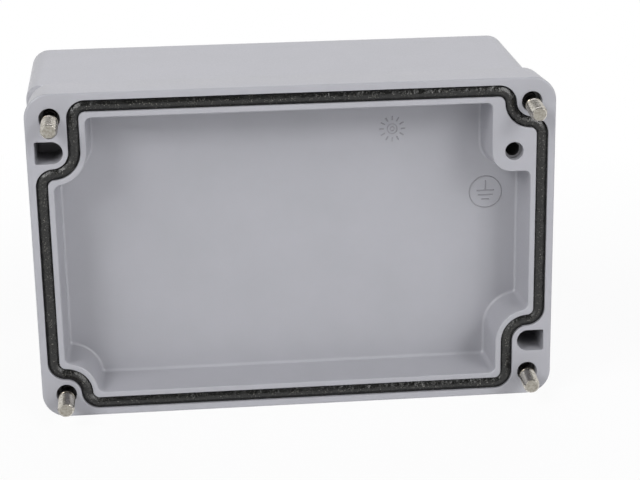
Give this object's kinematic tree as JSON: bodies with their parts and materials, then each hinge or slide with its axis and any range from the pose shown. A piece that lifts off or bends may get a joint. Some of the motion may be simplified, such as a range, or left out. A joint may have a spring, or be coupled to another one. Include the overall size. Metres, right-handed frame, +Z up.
{
  "type": "die cast aluminium enclosure",
  "caption": "Rectangular sealed metal box taken apart: a shallow lid with a foam seal and captive screws stands in front of its deep base.",
  "frame": {"origin": "centre of the bounding box at its lowest level, the level that the rims of both castings stand on", "axes": "+X along the box's long side, to the right of a viewer who looks into the lid; +Y away from that viewer, from the lid to the base, the depth the two castings take one behind the other; +Z up, along the box's width"},
  "size_m": [0.1266, 0.0677, 0.08],
  "materials": {
    "paint": "satin",
    "foam": "matte",
    "screw_steel": "satin"
  },
  "bodies": {
    "box": {"lid": "paint", "base": "paint", "gasket": "foam"},
    "lid_screw_upper_left": {"lid_screw_upper_left": "screw_steel"},
    "lid_screw_upper_right": {"lid_screw_upper_right": "screw_steel"},
    "lid_screw_lower_left": {"lid_screw_lower_left": "screw_steel"},
    "lid_screw_lower_right": {"lid_screw_lower_right": "screw_steel"}
  },
  "joints": [
    {"name": "lid_screw_upper_left_slide", "type": "slide", "parent": "box", "child": "lid_screw_upper_left", "axis": [-0.0271, 0.9978, 0.0598], "range_m": [0, 0.0052]},
    {"name": "lid_screw_upper_right_slide", "type": "slide", "parent": "box", "child": "lid_screw_upper_right", "axis": [0.0188, 0.9969, 0.0764], "range_m": [0, 0.0052]},
    {"name": "lid_screw_lower_left_slide", "type": "slide", "parent": "box", "child": "lid_screw_lower_left", "axis": [-0.0181, 0.9996, 0.0237], "range_m": [0, 0.0052]},
    {"name": "lid_screw_lower_right_slide", "type": "slide", "parent": "box", "child": "lid_screw_lower_right", "axis": [0.0522, 0.9985, 0.0139], "range_m": [0, 0.0052]}
  ]
}
